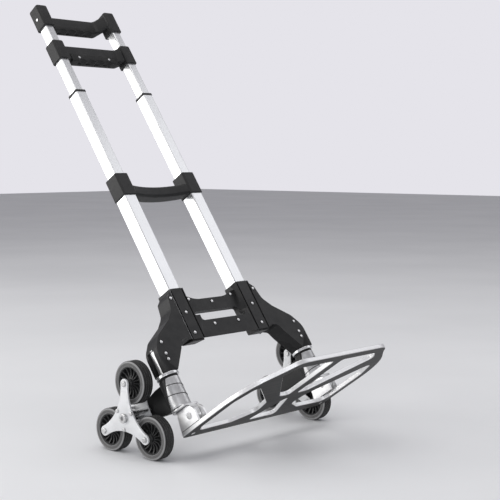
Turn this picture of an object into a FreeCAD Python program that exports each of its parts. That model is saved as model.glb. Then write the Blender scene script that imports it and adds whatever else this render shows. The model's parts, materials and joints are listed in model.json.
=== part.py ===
"""Stair climbing trolley: telescopic hand truck with two three-wheel stars and a folding toe plate.

The trolley is modelled upright: x across, y to the back, z up along the handle tubes, with the
origin midway between the two star axles. The last step leans it back onto its wheels and puts
the origin on the floor, in the middle of its footprint. Lengths are in millimetres.
"""
import FreeCAD, Part
import math
import os

V = FreeCAD.Vector
ACROSS, UP = V(1, 0, 0), V(0, 0, 1)
SIDES = {"left": -1, "right": 1}

# ---- driving dimensions ----
LEAN_DEG = 34.9             # how far the handle leans back while the trolley rolls

TUBE_X = 94.85              # handle tubes, from the middle
TUBE_Y = -89.3
OUTER_TUBE = (30.0, 32.0)   # across, deep
MID_TUBE = (25.4, 28.0)
INNER_TUBE = (20.4, 23.4)
TUBE_WALL = 1.4
OUTER_SPAN = (80.0, 470.0)  # bottom and top of each tube
FOOT_Z = 91.0               # level bottom of the body, at its front
MID_SPAN = (384.0, 690.0)
INNER_SPAN = (628.0, 905.0)
GLIDE = 0.4                 # gap round a tube that slides

LEG_X = 196.0               # legs, also the swing axes of the stars
LEG_Y = -89.0
LEG_R = 13.0
LEG_BORE = 10.5
LEG_SPAN = (-39.0, 88.0)
RING_SPAN = (29.0, 34.5)    # flange ring under the body
WASHER_SPAN = (25.6, 29.0)

PANEL_FRONT = -108.0        # body shells
PANEL_RECESS = -95.5
PANEL_SPLIT = -91.3
PANEL_BACK = -72.3
BACK_RECESS = -84.0
SHELL_WALL = 2.6
SLIT = (-1.2, 2.4)          # slit over each corner of the outer tubes, from inside to outside

TOE_UNDER = -83.1           # toe plate
TOE_THICK = 8.5
TOE_HALF = 205.0
TOE_REAR, TOE_FRONT = -62.0, -336.0
HINGE_Y, HINGE_Z = -108.0, -58.0
HINGE_R = 4.0
LUG_R = 10.5
CHEEK_R = 18.2

STAR_R = 64.5               # star axle to wheel axle
WHEEL_R = 41.0
WHEEL_SPAN = (219.0, 243.0)
RIM_R = 30.5
INNER_PLATE = (211.0, 213.5)
OUTER_PLATE = (252.5, 256.0)
ARM_END_R = 9.5
WAIST_R = 25.0
STAR_AXLE_R = 6.0
WHEEL_AXLE_R = 4.0
RUNNING = 0.06              # radial gap of a running fit
SPOKES = 15

NODES = {}


# ---- small shape helpers ----
def add(name, *pieces):
    """Keeps one node: a single solid, or a group of separate solids."""
    NODES[name] = pieces[0] if len(pieces) == 1 else Part.makeCompound(list(pieces))


def box(x0, x1, y0, y1, z0, z1):
    low = V(min(x0, x1), min(y0, y1), min(z0, z1))
    return Part.makeBox(abs(x1 - x0), abs(y1 - y0), abs(z1 - z0), low)


def rod(radius, start, end):
    along = end - start
    return Part.makeCylinder(radius, along.Length, start, along)


def across_rod(radius, x0, x1, y, z):
    return rod(radius, V(min(x0, x1), y, z), V(max(x0, x1), y, z))


def mirrored(shape):
    return shape.mirror(V(0, 0, 0), ACROSS)


def rounded_wire(corners):
    """Closed wire through (point, radius) corners, each rounded by an arc of its radius."""
    edges, ends = [], []
    count = len(corners)
    for i, (corner, radius) in enumerate(corners):
        before, after = corners[i - 1][0], corners[(i + 1) % count][0]
        inward, outward = (before - corner).normalize(), (after - corner).normalize()
        turn = inward.getAngle(outward)
        if radius <= 0 or abs(turn - math.pi) < 1e-6:
            ends.append((corner, corner))
            continue
        cut = radius / math.tan(turn / 2)
        start, end = corner + inward * cut, corner + outward * cut
        middle = (inward + outward).normalize()
        centre = corner + middle * (radius / math.sin(turn / 2))
        edges.append(Part.Arc(start, centre - middle * radius, end).toShape())
        ends.append((start, end))
    for i in range(count):
        start, end = ends[i][1], ends[(i + 1) % count][0]
        if start.distanceToPoint(end) > 1e-6:
            edges.append(Part.makeLine(start, end))
    return Part.Wire(Part.sortEdges(edges)[0])


def prism(corners, along):
    return Part.Face(rounded_wire(corners)).extrude(along)


def upright_prism(outline, y0, y1):
    """Outline of (x, z, radius) corners, pushed from y0 to y1."""
    corners = [(V(x, y0, z), r) for x, z, r in outline]
    return prism(corners, V(0, y1 - y0, 0))


def flat_prism(outline, z0, z1):
    """Outline of (x, y, radius) corners, pushed from z0 to z1."""
    corners = [(V(x, y, z0), r) for x, y, r in outline]
    return prism(corners, V(0, 0, z1 - z0))


def side_prism(outline, x0, x1):
    """Outline of (y, z, radius) corners, pushed from x0 to x1."""
    corners = [(V(x0, y, z), r) for y, z, r in outline]
    return prism(corners, V(x1 - x0, 0, 0))


def tube_block(x, width, depth, z0, z1, radius):
    """Upright block with rounded corners round a handle tube."""
    w, d = width / 2, depth / 2
    ends = [(x - w, TUBE_Y - d), (x + w, TUBE_Y - d), (x + w, TUBE_Y + d), (x - w, TUBE_Y + d)]
    return flat_prism([(a, b, radius) for a, b in ends], z0, z1)


def square_tube(x, size, span, wall=TUBE_WALL, radius=2.5):
    outer = tube_block(x, size[0], size[1], span[0], span[1], radius)
    bore = tube_block(x, size[0] - 2 * wall, size[1] - 2 * wall, span[0] - 1, span[1] + 1, radius - wall)
    return outer.cut(bore)


def tube_room(x, size, gap, z0, z1, radius=2.5):
    """The space that a tube takes, grown by a gap."""
    return tube_block(x, size[0] + 2 * gap, size[1] + 2 * gap, z0, z1, radius + gap)


def level_edges(shape, z, tolerance=0.05):
    """Edges that lie wholly at height z."""
    return [e for e in shape.Edges
            if abs(e.BoundBox.ZMin - z) < tolerance and abs(e.BoundBox.ZMax - z) < tolerance]


def soften(shape, radius, heights):
    edges = [e for z in heights for e in level_edges(shape, z)]
    return shape.makeFillet(radius, edges)


def button_head(radius, height, at, along):
    """Low domed head of a rivet or screw, standing on a point."""
    head = Part.makeCylinder(radius, height, at, along)
    top = at + along * height
    rim = [e for e in head.Edges if abs((e.BoundBox.Center - top).Length) < height * 0.2]
    return head.makeFillet(height * 0.6, rim)


def front_rivet(x, z, y):
    """Rivet in the body's face: a domed head and its shank."""
    head = button_head(3.2, 1.5, V(x, y, z), V(0, -1, 0))
    return head.fuse(rod(1.6, V(x, y, z), V(x, y + 2.0, z)))


# ---- telescopic tubes ----
def make_tubes():
    for side, s in SIDES.items():
        x = s * TUBE_X
        outer = square_tube(x, OUTER_TUBE, OUTER_SPAN).cut(under_body(x - 20, x + 20))
        add(f"outer_tube_{side}", outer)
        add(f"mid_tube_{side}", square_tube(x, MID_TUBE, MID_SPAN))
        slot = box(x - s * 11, x - s * 8, TUBE_Y - 3.5, TUBE_Y + 3.5, 790, 822)
        add(f"inner_tube_{side}", square_tube(x, INNER_TUBE, INNER_SPAN).cut(slot))


COLLAR_Z = (687.6, 692.6)


def make_collars():
    """Collar on the top of each middle tube, which guides the inner tube."""
    for side, s in SIDES.items():
        x = s * TUBE_X
        collar = tube_block(x, MID_TUBE[0] + 2.2, MID_TUBE[1] + 2.2, COLLAR_Z[0], COLLAR_Z[1], 3.2)
        collar = soften(collar, 0.6, COLLAR_Z)
        collar = collar.cut(tube_room(x, MID_TUBE, 0, COLLAR_Z[0] - 1, MID_SPAN[1]))
        collar = collar.cut(tube_room(x, INNER_TUBE, GLIDE, MID_SPAN[1] - 1, COLLAR_Z[1] + 1))
        add(f"collar_{side}", collar)


PIN_HEAD_R = 2.6


def side_pin(s, tube, z, height):
    """Domed pin head on the outward face of a tube."""
    face = s * (TUBE_X + tube[0] / 2)
    head = button_head(PIN_HEAD_R, height, V(face, TUBE_Y, z), ACROSS * s)
    return head.fuse(across_rod(1.3, face - s * TUBE_WALL, face, TUBE_Y, z))


def make_tube_pins():
    add("mid_tube_pins", *[side_pin(s, MID_TUBE, z, 0.6) for s in SIDES.values() for z in (641.0, 508.0)])
    add("outer_tube_pins", *[side_pin(s, OUTER_TUBE, 412.0, 1.1) for s in SIDES.values()])


def under_body(x0, x1, top_gap=0.0):
    """The space under the body's bottom face, which is level when the trolley leans."""
    rise = math.tan(math.radians(LEAN_DEG))
    front, back = V(0, -140, 0), V(0, -40, 0)
    low = [V(x0, p.y, FOOT_Z + (p.y + 105.8) * rise - top_gap) for p in (front, back)]
    outline = [low[0], low[1], V(x0, back.y, 20), V(x0, front.y, 20), low[0]]
    return Part.Face(Part.makePolygon(outline)).extrude(V(x1 - x0, 0, 0))


def make_tube_caps():
    """Plug that closes the bottom of each outer tube, with the wedge-shaped foot under the body."""
    caps = []
    for s in SIDES.values():
        x = s * TUBE_X
        plug = tube_block(x, OUTER_TUBE[0] - 2 * TUBE_WALL, OUTER_TUBE[1] - 2 * TUBE_WALL, 88, 120, 1.1)
        wedge = [(-105.8, 87, 1), (-74, 93, 3), (-74, 130, 0), (-105.8, 130, 0)]
        foot = side_prism(wedge, x - OUTER_TUBE[0] / 2 - 1, x + OUTER_TUBE[0] / 2 + 1)
        foot = foot.common(under_body(x - 20, x + 20))
        caps.append(plug.cut(under_body(x - 20, x + 20)).fuse(foot).removeSplitter())
    add("tube_end_caps", *caps)


# ---- grips ----
BAR_END = 8.0


def bowed_bar(half, front, back, bow, z0, z1):
    """Grip bar between the blocks: straight, set back from them by the bow, with slanted ends."""
    inner = half - BAR_END - bow * 0.35
    near = [(-half, front, 0), (-inner, front + bow, 10), (inner, front + bow, 10), (half, front, 0)]
    far = [(half, back, 0), (inner, back + bow, 10), (-inner, back + bow, 10), (-half, back, 0)]
    return flat_prism(near + far, z0, z1)


def arched_bar(half, front, back, bow, z0, z1):
    """Bar between the blocks, bowed to the back in one arc."""
    ends = [V(-half, front, z0), V(half, front, z0), V(half, back, z0), V(-half, back, z0)]
    near = Part.Arc(ends[0], V(0, front + bow, z0), ends[1]).toShape()
    far = Part.Arc(ends[2], V(0, back + bow, z0), ends[3]).toShape()
    sides = [Part.makeLine(ends[1], ends[2]), Part.makeLine(ends[3], ends[0])]
    return Part.Face(Part.Wire([near, sides[0], far, sides[1]])).extrude(V(0, 0, z1 - z0))


def finger_waves(depth_y, z, pitch=24.0, radius=15.0, lift=4.6):
    """Four cylinders, front to back, that cut finger grooves into a lower edge."""
    places = [(i - 1.5) * pitch for i in range(4)]
    return [rod(radius, V(x, depth_y[0], z - radius + lift), V(x, depth_y[1], z - radius + lift))
            for x in places]


TOP_GRIP = {"z": (866.0, 920.0), "bar": (880.0, 914.0), "front": -104.0, "back": -82.0, "bow": 28.0}
LOW_GRIP = {"z": (777.0, 825.0), "bar": (784.0, 822.0), "front": -103.0, "back": -79.0, "bow": 12.0}
GRIP_BLOCK = (29.0, 33.0)
GRIP_HALF = TUBE_X - GRIP_BLOCK[0] / 2 + 3


def grip_body(grip, block_corner):
    bar = bowed_bar(GRIP_HALF, grip["front"], grip["back"], grip["bow"], *grip["bar"])
    whole = soften(bar, 5.0, grip["bar"])
    for s in SIDES.values():
        block = tube_block(s * TUBE_X, GRIP_BLOCK[0], GRIP_BLOCK[1], *grip["z"], block_corner)
        whole = whole.fuse(soften(block, 5.0, [grip["z"][1]]))
    return whole.removeSplitter()


def finger_pad(grip, half, height, thick):
    """Soft finger pad let into the lower front of a grip bar, with a wavy lower edge."""
    front, bow = grip["front"], grip["bow"]
    z0 = grip["bar"][0] - 3.0
    pad = bowed_bar(GRIP_HALF, front - 1.2, front + thick, bow, z0, z0 + height)
    pad = pad.common(box(-half, half, front - 20, front + 80, z0 - 5, z0 + height + 5))
    for groove in finger_waves((front - 30, front + 90), z0):
        pad = pad.cut(groove)
    return pad


def make_top_grip():
    grip = grip_body(TOP_GRIP, 5.6)
    pad = finger_pad(TOP_GRIP, 58.0, 13.0, 15.0)
    grip = grip.cut(pad_room(TOP_GRIP, 58.3, 13.3, 15.3))
    for s in SIDES.values():
        grip = grip.cut(tube_room(s * TUBE_X, INNER_TUBE, 0, TOP_GRIP["z"][0] - 1, INNER_SPAN[1]))
    add("top_grip", grip)
    add("top_finger_pad", pad)
    heads = [button_head(3.0, 1.4, V(s * (TUBE_X + GRIP_BLOCK[0] / 2), TUBE_Y, 888), ACROSS * s)
             for s in SIDES.values()]
    add("top_grip_rivets", *heads)


def pad_room(grip, half, height, thick):
    """Seat of the finger pad in its grip."""
    front, bow = grip["front"], grip["bow"]
    z0 = grip["bar"][0] - 3.0
    room = bowed_bar(GRIP_HALF, front - 9.0, front + thick, bow, z0 - 6, z0 + height)
    return room.common(box(-half, half, front - 30, front + 90, z0 - 9, z0 + height))


SCREW_X = 42.0
CROSS_PIN_R, CROSS_PIN_Z = 2.2, 797.0
CROSS_PIN_REACH = INNER_TUBE[0] / 2 + 4


def make_release_grip():
    """Lower grip, which slides up the inner tubes to release the stages."""
    grip = grip_body(LOW_GRIP, 5.6)
    pad = finger_pad(LOW_GRIP, 64.0, 18.0, 15.0)
    grip = grip.cut(pad_room(LOW_GRIP, 64.3, 18.3, 15.3))
    for s in SIDES.values():
        x = s * TUBE_X
        grip = grip.cut(tube_room(x, INNER_TUBE, GLIDE, 760, 830))
        grip = grip.cut(across_rod(CROSS_PIN_R, x, x - s * CROSS_PIN_REACH, TUBE_Y, CROSS_PIN_Z))
    add("release_grip", grip)
    add("release_finger_pad", pad)
    face = LOW_GRIP["front"] + LOW_GRIP["bow"] - 1.2
    heads = [button_head(2.8, 1.4, V(s * SCREW_X, face + 0.3, 790.5), V(0, -1, 0)) for s in SIDES.values()]
    add("release_grip_screws", *heads)
    rods = []
    for s in SIDES.values():
        x = s * TUBE_X
        pin = across_rod(CROSS_PIN_R, x, x - s * CROSS_PIN_REACH, TUBE_Y, CROSS_PIN_Z)
        rods.append(rod(2.5, V(x, TUBE_Y, 650), V(x, TUBE_Y, 806)).fuse(pin))
    add("release_rods", *rods)


BRACKET_Z = (426.0, 478.0)
BRACKET_BAR_Z = (427.0, 452.0)
BRACKET_BLOCK = (35.0, 37.6)
BRACKET_HALF = TUBE_X - BRACKET_BLOCK[0] / 2 + 3


def make_mid_bracket():
    """Cross bracket at the top of the outer tubes: two guide blocks and a bar between them."""
    bar = arched_bar(BRACKET_HALF, -106.0, -78.0, 12.0, *BRACKET_BAR_Z)
    whole = soften(bar, 6.0, BRACKET_BAR_Z)
    for s in SIDES.values():
        x = s * TUBE_X
        block = tube_block(x, BRACKET_BLOCK[0], BRACKET_BLOCK[1], *BRACKET_Z, 4.5)
        whole = whole.fuse(soften(block, 2.0, BRACKET_Z))
    for s in SIDES.values():
        x = s * TUBE_X
        whole = whole.cut(tube_room(x, OUTER_TUBE, 0, BRACKET_Z[0] - 1, OUTER_SPAN[1]))
        whole = whole.cut(tube_room(x, MID_TUBE, GLIDE, OUTER_SPAN[1] - 1, BRACKET_Z[1] + 1))
        keyway = x + s * (MID_TUBE[0] / 2 + 1.1)
        whole = whole.cut(box(x, keyway, TUBE_Y - 3.6, TUBE_Y + 3.6, OUTER_SPAN[1] - 1, BRACKET_Z[1] + 1))
    add("mid_bracket", whole.removeSplitter())


# ---- body: two shells round the tubes and the legs ----
LEG_OUT, LEG_IN = 212.0, 182.0
BODY_FOOT = 35.0
BODY_HALF = [
    (0, 178, 0), (42, 180, 60), (66, 190, 8), (75.4, 190, 3), (75.4, 203, 2.5), (114.4, 203, 2.5),
    (114.4, 196, 4), (125, 186, 8), (131, 158, 24), (150, 138, 20), (192, 110, 30),
    (LEG_OUT, 84, 34), (LEG_OUT, BODY_FOOT, 3), (LEG_IN, BODY_FOOT, 3), (167, 54, 16),
    (150, 76, 12), (140, 93, 10), (124, 96, 12), (110, 90, 8), (0, 90, 0),
]
SLOT_HALF = [(0, 153, 0), (63, 153, 7), (63, 127, 7), (0, 127, 0)]


def whole_outline(half):
    """Right half plus its mirror, without the two middle points."""
    right = half[1:-1]
    return right + [(-x, z, r) for x, z, r in reversed(right)]


def leg_groove(s):
    """Gap between the shells on the outside of a leg, where the metal shows."""
    return box(s * 204, s * 230, -97.0, -77.0, 20, 85)


def body_shell(y_face, y_split, pocket=None):
    """One half of the body, open towards the split, with a pocket of the given outline."""
    inward = 1 if y_split > y_face else -1
    shell = upright_prism(whole_outline(BODY_HALF), y_face, y_split)
    if pocket:
        shell = shell.cut(upright_prism(pocket, y_face + inward * SHELL_WALL, y_split))
    for s in SIDES.values():
        rib = [(s * 118, 102, 3), (s * 136, 104, 3), (s * 150, 98, 3), (s * 160, 112, 4), (s * 128, 136, 4)]
        shell = shell.cut(upright_prism(rib, y_face + inward * SHELL_WALL, y_split))
        shell = shell.cut(tube_room(s * TUBE_X, OUTER_TUBE, 0, 60, 230))
        shell = shell.cut(rod(LEG_R, V(s * LEG_X, LEG_Y, 0), V(s * LEG_X, LEG_Y, LEG_SPAN[1])))
        shell = shell.cut(leg_groove(s))
    shell = shell.cut(under_body(-116, 116))
    return shell.cut(upright_prism(whole_outline(SLOT_HALF), y_face - inward * 5, y_split + inward * 5))


RECESS_HALF = [(0, 140, 0), (76, 140, 4), (76, 220, 3), (0, 220, 0)]
FRONT_POCKET = [(-60, 105, 3), (60, 105, 3), (60, 121, 3), (-60, 121, 3)]
BACK_RECESS_HALF = [(0, 120, 0), (75, 120, 5), (75, 220, 3), (0, 220, 0)]


def make_body():
    front = body_shell(PANEL_FRONT, PANEL_SPLIT, FRONT_POCKET)
    step = upright_prism(whole_outline(RECESS_HALF), PANEL_FRONT - 2, PANEL_RECESS)
    front = front.cut(step)
    for s in SIDES.values():
        for edge in (-1, 1):
            x = s * TUBE_X + edge * OUTER_TUBE[0] / 2
            slit = box(x + edge * SLIT[0], x + edge * SLIT[1], PANEL_FRONT - 1, PANEL_SPLIT - 7, 91, 210)
            front = front.cut(slit)
    add("body_front_shell", front)
    back = body_shell(PANEL_BACK, PANEL_SPLIT)
    add("body_back_shell", back.cut(upright_prism(whole_outline(BACK_RECESS_HALF), BACK_RECESS, PANEL_BACK + 2)))


PANEL_RIVETS = [(118.8, 183), (96, 149), (97, 104), (34, 117)]
RECESS_RIVETS = [(-60.5, 182), (0, 171.5), (60.5, 182)]
LEG_RIVETS = [(192, 95), (193, 71), (193, 59)]


def make_body_rivets():
    rivets = [front_rivet(s * x, z, PANEL_FRONT)
              for s in SIDES.values() for x, z in PANEL_RIVETS + LEG_RIVETS]
    rivets += [front_rivet(x, z, PANEL_RECESS) for x, z in RECESS_RIVETS]
    add("body_rivets", *rivets)


# ---- legs ----
CASTING_TOP = -35.0
FLANGE = 4.0
SLEEVE_SPAN = (-33.5, 25.0)
SLEEVE_R = (20.1, 19.4)


def leg_ring(s, radius, span):
    """Ring round a leg, with softened edges."""
    ring = soften(rod(radius, V(s * LEG_X, LEG_Y, span[0]), V(s * LEG_X, LEG_Y, span[1])), 1.0, span)
    return ring.cut(rod(LEG_R, V(s * LEG_X, LEG_Y, 0), V(s * LEG_X, LEG_Y, 60)))


def make_legs():
    for side, s in SIDES.items():
        x = s * LEG_X
        tube = rod(LEG_R, V(x, LEG_Y, LEG_SPAN[0]), V(x, LEG_Y, LEG_SPAN[1]))
        add(f"leg_tube_{side}", tube.cut(rod(LEG_BORE, V(x, LEG_Y, -60), V(x, LEG_Y, 120))))
    add("flange_rings", *[leg_ring(s, 22.5, RING_SPAN) for s in SIDES.values()])
    add("leg_washers", *[leg_ring(s, 19.0, WASHER_SPAN) for s in SIDES.values()])


LUG_X = (184.0, 201.0)
CHEEKS_X = ((179.0, 183.4), (201.6, 206.2))


def lug_profile():
    """Side view of the hinge lug below its flange, rounded about the hinge pin."""
    nose_y, bottom = HINGE_Y - LUG_R, HINGE_Z - LUG_R
    return [(nose_y, bottom, LUG_R - 0.1), (HINGE_Y + LUG_R, bottom, LUG_R - 0.1), (LEG_Y + 14, -46, 4),
            (LEG_Y + 14, CASTING_TOP, 0), (-112.0, CASTING_TOP, 0), (nose_y, -48.0, 5)]


def make_castings():
    """Casting on each leg's foot: a flange for the swing sleeve and a lug for the toe plate's hinge."""
    for side, s in SIDES.items():
        x = s * LEG_X
        flange = rod(20.5, V(x, LEG_Y, CASTING_TOP), V(x, LEG_Y, CASTING_TOP - FLANGE))
        flange = flange.fuse(box(s * 177, s * 213, LEG_Y, -114, CASTING_TOP - FLANGE, CASTING_TOP))
        casting = flange.fuse(side_prism(lug_profile(), s * LUG_X[0], s * LUG_X[1]))
        casting = casting.cut(across_rod(HINGE_R, s * 170, s * 215, HINGE_Y, HINGE_Z))
        casting = casting.cut(rod(LEG_R, V(x, LEG_Y, LEG_SPAN[0]), V(x, LEG_Y, CASTING_TOP)))
        add(f"hinge_casting_{side}", casting.removeSplitter())
    pins = []
    for s in SIDES.values():
        pin = across_rod(HINGE_R, s * (CHEEKS_X[0][0] - 0.4), s * CHEEKS_X[1][1], HINGE_Y, HINGE_Z)
        head = button_head(6.5, 0.9, V(s * (CHEEKS_X[1][1] + 0.1), HINGE_Y, HINGE_Z), ACROSS * s)
        pins.append(pin.fuse(head).fuse(across_rod(HINGE_R, s * 200, s * 206.5, HINGE_Y, HINGE_Z)))
    add("toe_hinge_pins", *pins)


# ---- toe plate ----
def toe_outline():
    """Edge of the toe plate: straight front and rear, sides that curve in towards the front."""
    z = TOE_UNDER
    side = [V(TOE_HALF, -150, z), V(TOE_HALF - 3, -218, z), V(176, -277, z), V(138, -318, z),
            V(104, TOE_FRONT, z)]
    curve = Part.BSplineCurve()
    curve.interpolate(side, InitialTangent=V(0, -1, 0), FinalTangent=V(-1, 0, 0))
    right = curve.toShape()
    corner = 12.0
    rear = V(TOE_HALF - corner, TOE_REAR, z)
    mid = V(TOE_HALF - corner * 0.293, TOE_REAR - corner * 0.293, z)
    turn = Part.Arc(V(TOE_HALF, TOE_REAR - corner, z), mid, rear).toShape()
    edge = Part.makeLine(side[0], V(TOE_HALF, TOE_REAR - corner, z))
    half = [right, edge, turn]
    joins = [Part.makeLine(rear, V(-rear.x, rear.y, z)), Part.makeLine(side[-1], V(-side[-1].x, TOE_FRONT, z))]
    return Part.Wire(Part.sortEdges(half + [mirrored(e) for e in half] + joins)[0])


SIDE_WINDOW = [(96, -92, 22), (178, -88, 16), (188, -110, 14), (187, -205, 30), (166, -258, 12),
               (60, -162, 16), (50, -122, 18)]
CENTRE_WINDOW = [(12, -178, 8), (40, -182, 8), (134, -290, 12), (112, -314, 14), (12, -314, 8)]
REAR_WINDOW = [(-40, -80, 7), (40, -80, 7), (0, -168, 6)]


RIVET_Y = -78.5
RIVET_SEAT = (3.8, 1.7)        # radius and depth of the countersunk seats


def cut_window(plate, outline):
    return plate.cut(flat_prism(outline, TOE_UNDER - 5, TOE_UNDER + TOE_THICK + 5))


def make_toe_plate():
    plate = Part.Face(toe_outline()).extrude(V(0, 0, TOE_THICK))
    top = TOE_UNDER + TOE_THICK
    for window in (SIDE_WINDOW, CENTRE_WINDOW):
        plate = cut_window(plate, window)
        plate = cut_window(plate, [(-x, y, r) for x, y, r in window])
    plate = cut_window(plate, REAR_WINDOW)
    plate = soften(plate, 1.2, (TOE_UNDER, top))
    for s in SIDES.values():
        seat = V(s * 186, RIVET_Y, TOE_UNDER)
        plate = plate.cut(rod(RIVET_SEAT[0], seat - UP, seat + UP * RIVET_SEAT[1]))
        plate = plate.cut(rod(1.6, seat, seat + UP * TOE_THICK))
    add("toe_plate", plate)
    ears, rivets = [], []
    for s in SIDES.values():
        ears.append(hinge_bracket(s, top))
        head = rod(RIVET_SEAT[0] - 0.2, V(s * 186, RIVET_Y, TOE_UNDER + 0.1), V(s * 186, RIVET_Y, TOE_UNDER + RIVET_SEAT[1]))
        rivets.append(head.fuse(rod(1.6, V(s * 186, RIVET_Y, TOE_UNDER + 1), V(s * 186, RIVET_Y, top + 1))))
    add("toe_hinge_ears", *ears)
    add("toe_plate_rivets", *rivets)


def cheek_profile(top):
    """Side view of a hinge cheek: upright front, round over the pin, flat back to the rear."""
    y, z = HINGE_Y, HINGE_Z
    front, crown = V(0, y - CHEEK_R, z), V(0, y, z + CHEEK_R)
    mid = V(0, y - CHEEK_R * math.cos(math.pi / 4), z + CHEEK_R * math.sin(math.pi / 4))
    foot, rear = V(0, y - CHEEK_R, top), V(0, -72, top)
    back = V(0, -80, z + CHEEK_R)
    sides = [Part.makeLine(foot, front), Part.Arc(front, mid, crown).toShape(), Part.makeLine(crown, back),
             Part.makeLine(back, rear), Part.makeLine(rear, foot)]
    return Part.Face(Part.Wire(sides))


def hinge_bracket(s, top):
    """Channel on the toe plate: two cheeks on the hinge pin and the floor between them."""
    bracket = box(s * CHEEKS_X[0][0], s * CHEEKS_X[1][1], -100, -72, top, top + 2)
    for x0, x1 in CHEEKS_X:
        cheek = cheek_profile(top).extrude(V(x1 - x0, 0, 0))
        cheek.translate(V(x0 if s > 0 else -x1, 0, 0))
        bracket = bracket.fuse(cheek)
    bracket = bracket.cut(across_rod(HINGE_R + RUNNING, s * 170, s * 215, HINGE_Y, HINGE_Z))
    return bracket.cut(rod(1.6, V(s * 186, RIVET_Y, top), V(s * 186, RIVET_Y, top + 1))).removeSplitter()


# ---- swinging wheel carriers ----
BLOCK_X = (185.0, 206.0)
COIL_WIRE = 0.9


def sleeve_cone(x):
    foot, top = SLEEVE_SPAN
    return Part.makeCone(*SLEEVE_R, top - foot, V(x, LEG_Y, foot), UP)


WRAP_R = 20.7


def carrier_wrap(s):
    """Thin skirt of the axle block round the back of the sleeve, with slanted edges."""
    x = s * LEG_X
    skirt = rod(WRAP_R, V(x, LEG_Y, -28), V(x, LEG_Y, 24.5))
    slant = [(LEG_Y - 11, 30, 0), (LEG_Y + 12, -34, 0), (LEG_Y + 40, -34, 0), (LEG_Y + 40, 30, 0)]
    return skirt.common(side_prism(slant, s * 170, s * 222))


def make_carriers():
    for side, s in SIDES.items():
        x = s * LEG_X
        foot, top = SLEEVE_SPAN
        bore = rod(LEG_R + RUNNING, V(x, LEG_Y, foot - 1), V(x, LEG_Y, top + 1))
        sleeve = sleeve_cone(x).cut(bore)
        profile = [(LEG_Y + 10, -31, 3), (LEG_Y + 30, -31, 20), (13, -13, 12), (13, 13, 12),
                   (LEG_Y + 36, 22, 20), (LEG_Y + 10, 22, 3)]
        block = side_prism(profile, s * BLOCK_X[0], s * BLOCK_X[1]).fuse(carrier_wrap(s))
        block = block.cut(sleeve_cone(x))
        block = block.cut(across_rod(STAR_AXLE_R, s * 170, s * 230, 0, 0))
        add(f"swing_sleeve_{side}", sleeve)
        add(f"axle_block_{side}", block)
        rings = []
        for z in (-22.0, -2.0, 18.0):
            along = (z - foot) / (top - foot)
            ring_r = SLEEVE_R[0] + (SLEEVE_R[1] - SLEEVE_R[0]) * along - 0.2
            ring = Part.makeTorus(ring_r, COIL_WIRE, V(x, LEG_Y, z), UP)
            rings.append(ring.cut(sleeve.fuse(bore)).cut(block))
        add(f"swing_spring_{side}", *rings)
        axle = across_rod(STAR_AXLE_R, s * 186, s * 257, 0, 0)
        head = Part.makeCylinder(9.0, 5.0, V(s * 256.3, 0, 0), ACROSS * s)
        rim = [e for e in head.Edges if abs(e.BoundBox.Center.x - s * 261.3) < 0.1]
        recess = hexagon(4.0, s * 258.3, s * 262, 0, 0)
        add(f"star_axle_{side}", axle.fuse(head.makeFillet(1.5, rim)).cut(recess))


def hexagon(flat_radius, x0, x1, y, z):
    reach = flat_radius / math.cos(math.pi / 6)
    corners = [(y + reach * math.cos(k * math.pi / 3), z + reach * math.sin(k * math.pi / 3), 0)
               for k in range(6)]
    return side_prism(corners, x0, x1)


# ---- stars ----
ARMS = [math.radians(LEAN_DEG + a) for a in (90, 210, 330)]
NAMES = ("top", "front", "rear")


def on_star(angle, radius):
    return radius * math.cos(angle), radius * math.sin(angle)


def star_outline(x):
    """Three tapered arms with round ends and hollow sides."""
    edges = []
    for i, angle in enumerate(ARMS):
        cy, cz = on_star(angle, STAR_R)
        ay, az = math.cos(angle), math.sin(angle)
        start = V(x, cy + az * ARM_END_R, cz - ay * ARM_END_R)
        end = V(x, cy - az * ARM_END_R, cz + ay * ARM_END_R)
        tip = V(x, cy + ay * ARM_END_R, cz + az * ARM_END_R)
        edges.append(Part.Arc(start, tip, end).toShape())
        after = ARMS[(i + 1) % 3]
        ny, nz = on_star(after, STAR_R)
        by, bz = math.cos(after), math.sin(after)
        onward = V(x, ny + bz * ARM_END_R, nz - by * ARM_END_R)
        waist = V(x, *on_star(angle + math.pi / 3, WAIST_R))
        edges.append(Part.Arc(end, waist, onward).toShape())
    return Part.Wire(edges)


HUB_BOLT_PLACE = 22.0
HUB_BOLT_R = 2.5


def star_plate(s, span):
    plate = Part.Face(star_outline(s * span[0])).extrude(V(s * (span[1] - span[0]), 0, 0))
    x0, x1 = s * (span[0] - 5), s * (span[1] + 5)
    plate = plate.cut(across_rod(STAR_AXLE_R + RUNNING, x0, x1, 0, 0))
    for angle in ARMS:
        plate = plate.cut(across_rod(WHEEL_AXLE_R, x0, x1, *on_star(angle, STAR_R)))
        plate = plate.cut(across_rod(HUB_BOLT_R, x0, x1, *on_star(angle + math.pi / 3, HUB_BOLT_PLACE)))
    return plate


def headed_bolt(s, radius, head_radius, head, place):
    """Bolt through both star plates: domed head outside, nut inside."""
    y, z = place
    shank = across_rod(radius, s * (INNER_PLATE[0] - 3), s * (OUTER_PLATE[1] + 0.5), y, z)
    dome = button_head(head_radius, head, V(s * OUTER_PLATE[1], y, z), ACROSS * s)
    nut = hexagon(head_radius * 0.9, s * (INNER_PLATE[0] - 3.2), s * INNER_PLATE[0], y, z)
    return shank.fuse(dome).fuse(nut)


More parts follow.
